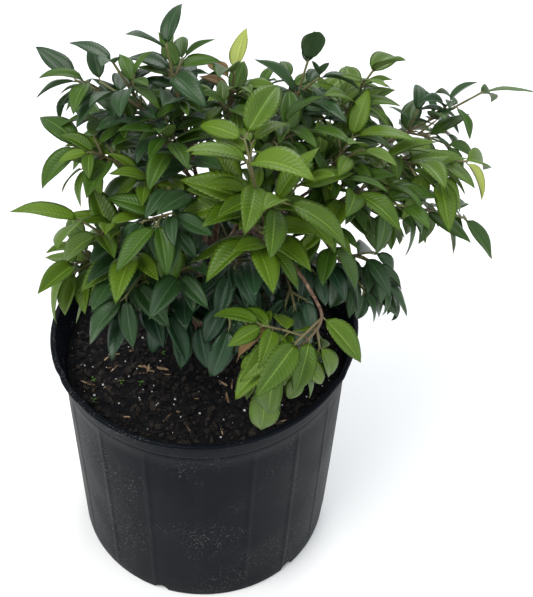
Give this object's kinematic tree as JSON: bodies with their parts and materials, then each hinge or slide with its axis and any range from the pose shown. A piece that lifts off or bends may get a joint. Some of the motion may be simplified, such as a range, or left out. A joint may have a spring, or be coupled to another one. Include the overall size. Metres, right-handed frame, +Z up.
{
  "type": "potted jaboticaba tree",
  "caption": "Young weeping jaboticaba tree with a short leaning trunk and a wide, low crown of paired leaves, growing in a round black nursery pot of bark mix.",
  "frame": {"origin": "centre of the pot's flat underside, on the plane that it stands on", "axes": "+Z up along the pot's axis; +X to the side that the trunk leans to; -Y to the front, where the picture was taken from"},
  "size_m": [0.3816, 0.3195, 0.5102],
  "materials": {
    "pot_plastic": "satin",
    "potting_mix": "matte",
    "bark": "matte",
    "leaf_bright": "satin",
    "leaf_mid": "satin",
    "leaf_deep": "satin",
    "leaf_shade": "satin"
  },
  "bodies": {
    "root": {"pot": "pot_plastic", "potting_mix": "potting_mix", "trunk": "bark", "bough_leader": "bark", "bough_left": "bark", "bough_right": "bark", "bough_front": "bark", "bough_top": "bark", "bough_back": "bark", "bough_low_left": "bark", "bough_low_centre": "bark", "bough_low_back": "bark", "bough_back_left": "bark", "bough_back_right": "bark", "bough_left_hang": "bark", "bough_top_left": "bark", "bough_left_mid": "bark", "bough_left_high": "bark", "bough_centre_left": "bark", "bough_top_centre": "bark", "bough_top_right": "bark", "bough_front_fall": "bark", "bough_low_right": "bark", "bough_right_mid": "bark", "bough_right_low": "bark", "bough_right_far": "bark", "bough_right_back": "bark", "bough_middle": "bark", "bough_inner_right": "bark", "bough_inner_left": "bark", "foliage_centre": "leaf_bright", "foliage_front_end": "leaf_bright", "foliage_left_out": "leaf_bright", "foliage_left_hang": "leaf_bright", "foliage_top_left": "leaf_deep", "foliage_top_side": "leaf_deep", "foliage_left_high": "leaf_deep", "foliage_left_mid": "leaf_mid", "foliage_centre_left": "leaf_deep", "foliage_top_centre": "leaf_mid", "foliage_top_mid": "leaf_deep", "foliage_top_right": "leaf_bright", "foliage_low_left": "leaf_shade", "foliage_low_centre": "leaf_shade", "foliage_low_right": "leaf_shade", "foliage_right_mid": "leaf_mid", "foliage_right_low": "leaf_deep", "foliage_right_far": "leaf_bright", "foliage_right_end": "leaf_mid", "foliage_right_tip": "leaf_deep", "foliage_back": "leaf_mid", "foliage_back_left": "leaf_deep", "foliage_back_right": "leaf_mid", "foliage_low_back": "leaf_shade", "foliage_middle": "leaf_mid", "foliage_inner_right": "leaf_mid", "foliage_inner_left": "leaf_deep"}
  },
  "joints": []
}
